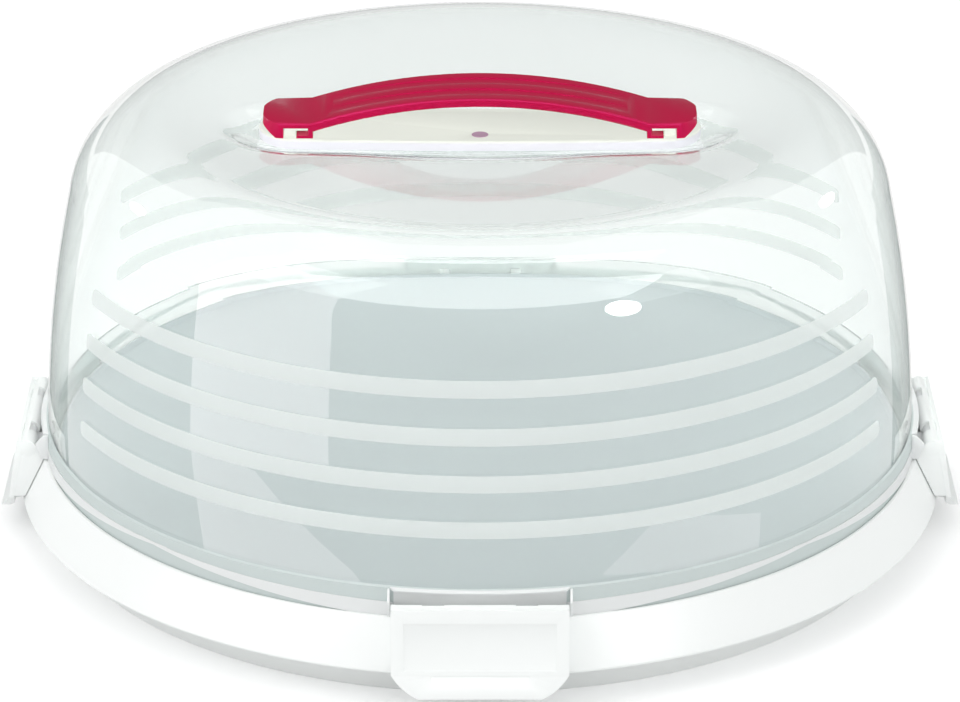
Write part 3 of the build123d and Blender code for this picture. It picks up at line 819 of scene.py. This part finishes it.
# place, size and energy of each soft lamp
lampSettings = {
    "aim": (0, 0, 0.08),
    "lamps": {
        "key_softbox": ((-1.1, -0.7, 1.3), (1.0, 0.8), 5.6),
        "fill_softbox": ((1.2, -0.9, 1.1), (0.8, 0.8), 2.8),
    },
}


def addLamp(name, place, size, energy):
    data = bpy.data.lights.new(name, 'AREA')
    data.shape = 'RECTANGLE'
    data.size, data.size_y = size
    data.energy = energy
    lamp = bpy.data.objects.new(name, data)
    bpy.context.scene.collection.objects.link(lamp)
    lamp.location = place
    lamp.rotation_euler = (Vector(lampSettings["aim"]) - Vector(place)).to_track_quat('-Z', 'Y').to_euler()
    lamp.visible_camera = False
    lamp.visible_glossy = False


# panels that only gloss shows: corners as (turn from the front, height) in degrees, then brightness, colour,
# how far the upper edge bows up in degrees, and whether the ends are round
cardSettings = {
    "distance": 3.0, "centreZ": 0.1, "steps": 8,
    "cards": {
        "window_left": (((-82, 48), (-41, 48), (-37.5, -12.5), (-77.5, -14.5)), 4.2, "fff3f5", 0, False),
        "window_left_low": (((-77.5, -14.5), (-57.5, -14.5), (-24.5, -24.5), (-73.5, -25)),
                            3.2, "fff3f5", 0, False),
        "window_right_low": (((45, -17.5), (75, -20.5), (75, -23.7), (30.5, -22.5)),
                             2.6, "fff3f5", 0, False),
        "lens_front": (((-62, 44), (62, 44), (41, 30), (-41, 30)), 6.0, "ffffff", 25, False),
        "spot_front": (((33.5, 27), (43.5, 27), (43.5, 10), (33.5, 10)), 30.0, "ffffff", 0, True),
        "spot_left": (((-125, 28), (-117, 28), (-117, 22), (-125, 22)), 16.0, "ffffff", 0, True),
        "spot_right": (((122, 28), (131, 28), (131, 22), (122, 22)), 16.0, "ffffff", 0, True),
        "flag_left": (((-160, 0), (-136, 0), (-136, -27), (-160, -27)), 0.5, "b9c9c5", 0, False),
        "flag_right": (((136, 0), (160, 0), (160, -27), (136, -27)), 0.5, "b9c9c5", 0, False),
        "flag_back": (((148, 42), (212, 42), (212, 4), (148, 4)), 0.20, "dfe6e5", 0, False),
        "flag_ceiling": (((160, 66), (200, 66), (200, 43), (160, 43)), 0.35, "b9c9c5", 0, False),
    },
}


def lightCard(card, brightness, colour):
    material, tree = newMaterial(card.name + " card")
    glow = addNode(tree, 'ShaderNodeEmission', {"Color": linear(colour), "Strength": brightness})
    finishMaterial(tree, glow.outputs[0])
    setMaterial(card, material)
    card.visible_camera = False
    card.visible_diffuse = False
    card.visible_transmission = False
    card.visible_volume_scatter = False
    card.visible_shadow = False


def addCard(name, corners, brightness, colour, bow, roundEnds):
    s = cardSettings
    deselectAll()
    bpy.ops.mesh.primitive_grid_add(x_subdivisions=s["steps"], y_subdivisions=s["steps"], size=2)
    card = bpy.context.object
    card.name = name
    topLeft, topRight, lowRight, lowLeft = corners
    for vertex in card.data.vertices:
        x, y = vertex.co.x, vertex.co.y
        if roundEnds:
            x, y = x * sqrt(1 - y * y / 2), y * sqrt(1 - x * x / 2)
        u, v = (x + 1) / 2, (y + 1) / 2
        turn, rise = (radians((topLeft[i] * (1 - u) + topRight[i] * u) * v
                              + (lowLeft[i] * (1 - u) + lowRight[i] * u) * (1 - v)) for i in (0, 1))
        rise += radians(bow) * (1 - x * x) * v
        vertex.co = (s["distance"] * cos(rise) * sin(turn), -s["distance"] * cos(rise) * cos(turn),
                     s["distance"] * sin(rise) + s["centreZ"])
    lightCard(card, brightness, colour)


overheadCard = {"width": 3.2, "depth": 0.4, "place": (0, 0, 3.0), "brightness": 5.0}


def addOverheadCard():
    # the strip that draws fine light lines along the ridges of the handle
    s = overheadCard
    deselectAll()
    bpy.ops.mesh.primitive_grid_add(x_subdivisions=2, y_subdivisions=2, size=1, location=s["place"])
    card = bpy.context.object
    card.name = "overhead_strip"
    editAll()
    bpy.ops.transform.resize(value=(s["width"], s["depth"], 1), center_override=s["place"])
    leaveEdit()
    lightCard(card, s["brightness"], "ffffff")


makeStage()
addOverheadCard()
for name, (place, size, energy) in lampSettings["lamps"].items():
    addLamp(name, place, size, energy)
for name, (corners, brightness, colour, bow, roundEnds) in cardSettings["cards"].items():
    addCard(name, corners, brightness, colour, bow, roundEnds)
print("stage made")

cameraSettings = {"lens": 166.4, "place": (0, -1.52097, 0.70708), "tilt": 66.984}
cameraData = bpy.data.cameras.new("camera")
cameraData.lens = cameraSettings["lens"]
camera = bpy.data.objects.new("camera", cameraData)
bpy.context.scene.collection.objects.link(camera)
camera.location = cameraSettings["place"]
camera.rotation_euler = (radians(cameraSettings["tilt"]), 0, 0)
bpy.context.scene.camera = camera
